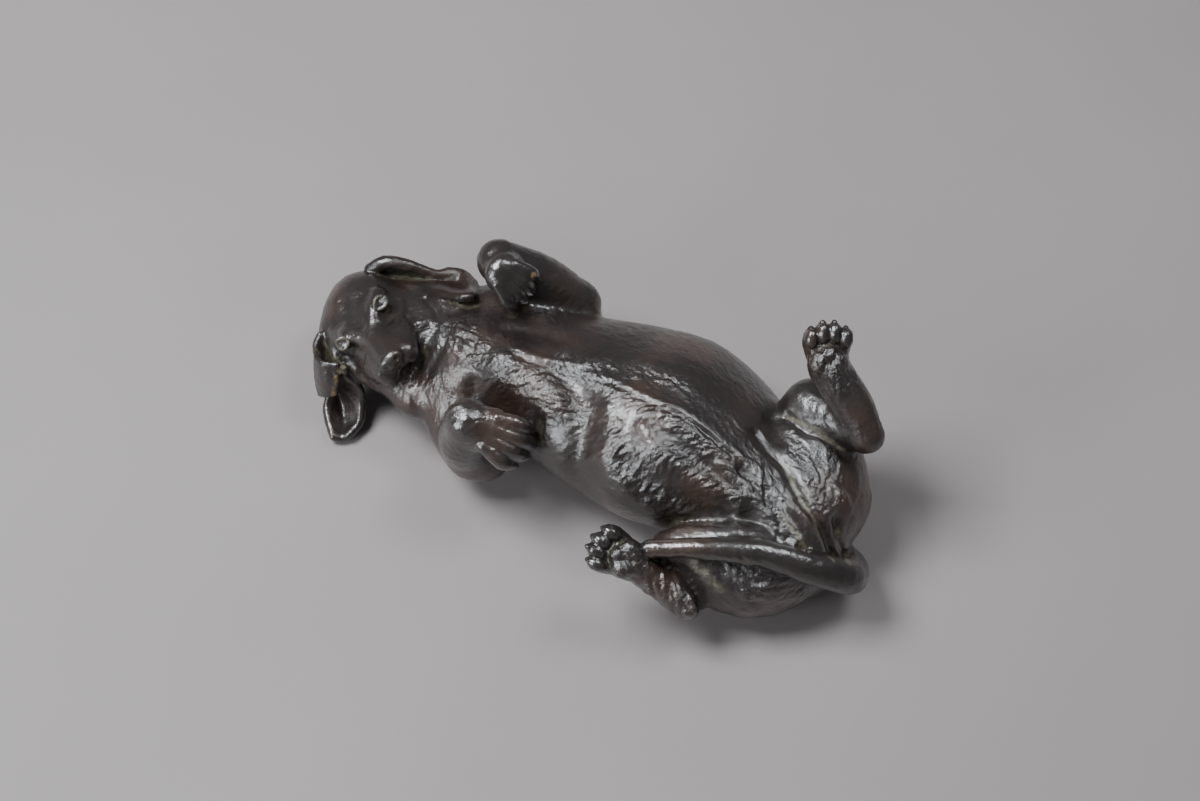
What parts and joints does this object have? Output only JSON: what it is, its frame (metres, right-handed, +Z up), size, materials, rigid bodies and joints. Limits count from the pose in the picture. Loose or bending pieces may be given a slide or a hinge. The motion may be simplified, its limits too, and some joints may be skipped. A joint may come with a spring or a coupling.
{
  "type": "figurine",
  "caption": "Cast bronze figurine of a short-legged puppy lying on its back, paws raised and head turned, dark brown patina",
  "frame": {"origin": "centre of the bounding box on the resting plane", "axes": "+X from the head to the rump, +Y to the dog's left side, +Z up out of the belly"},
  "size_m": [0.2802, 0.1348, 0.1054],
  "materials": {
    "bronze": "satin"
  },
  "bodies": {
    "root": {"dog": "bronze"}
  },
  "joints": []
}
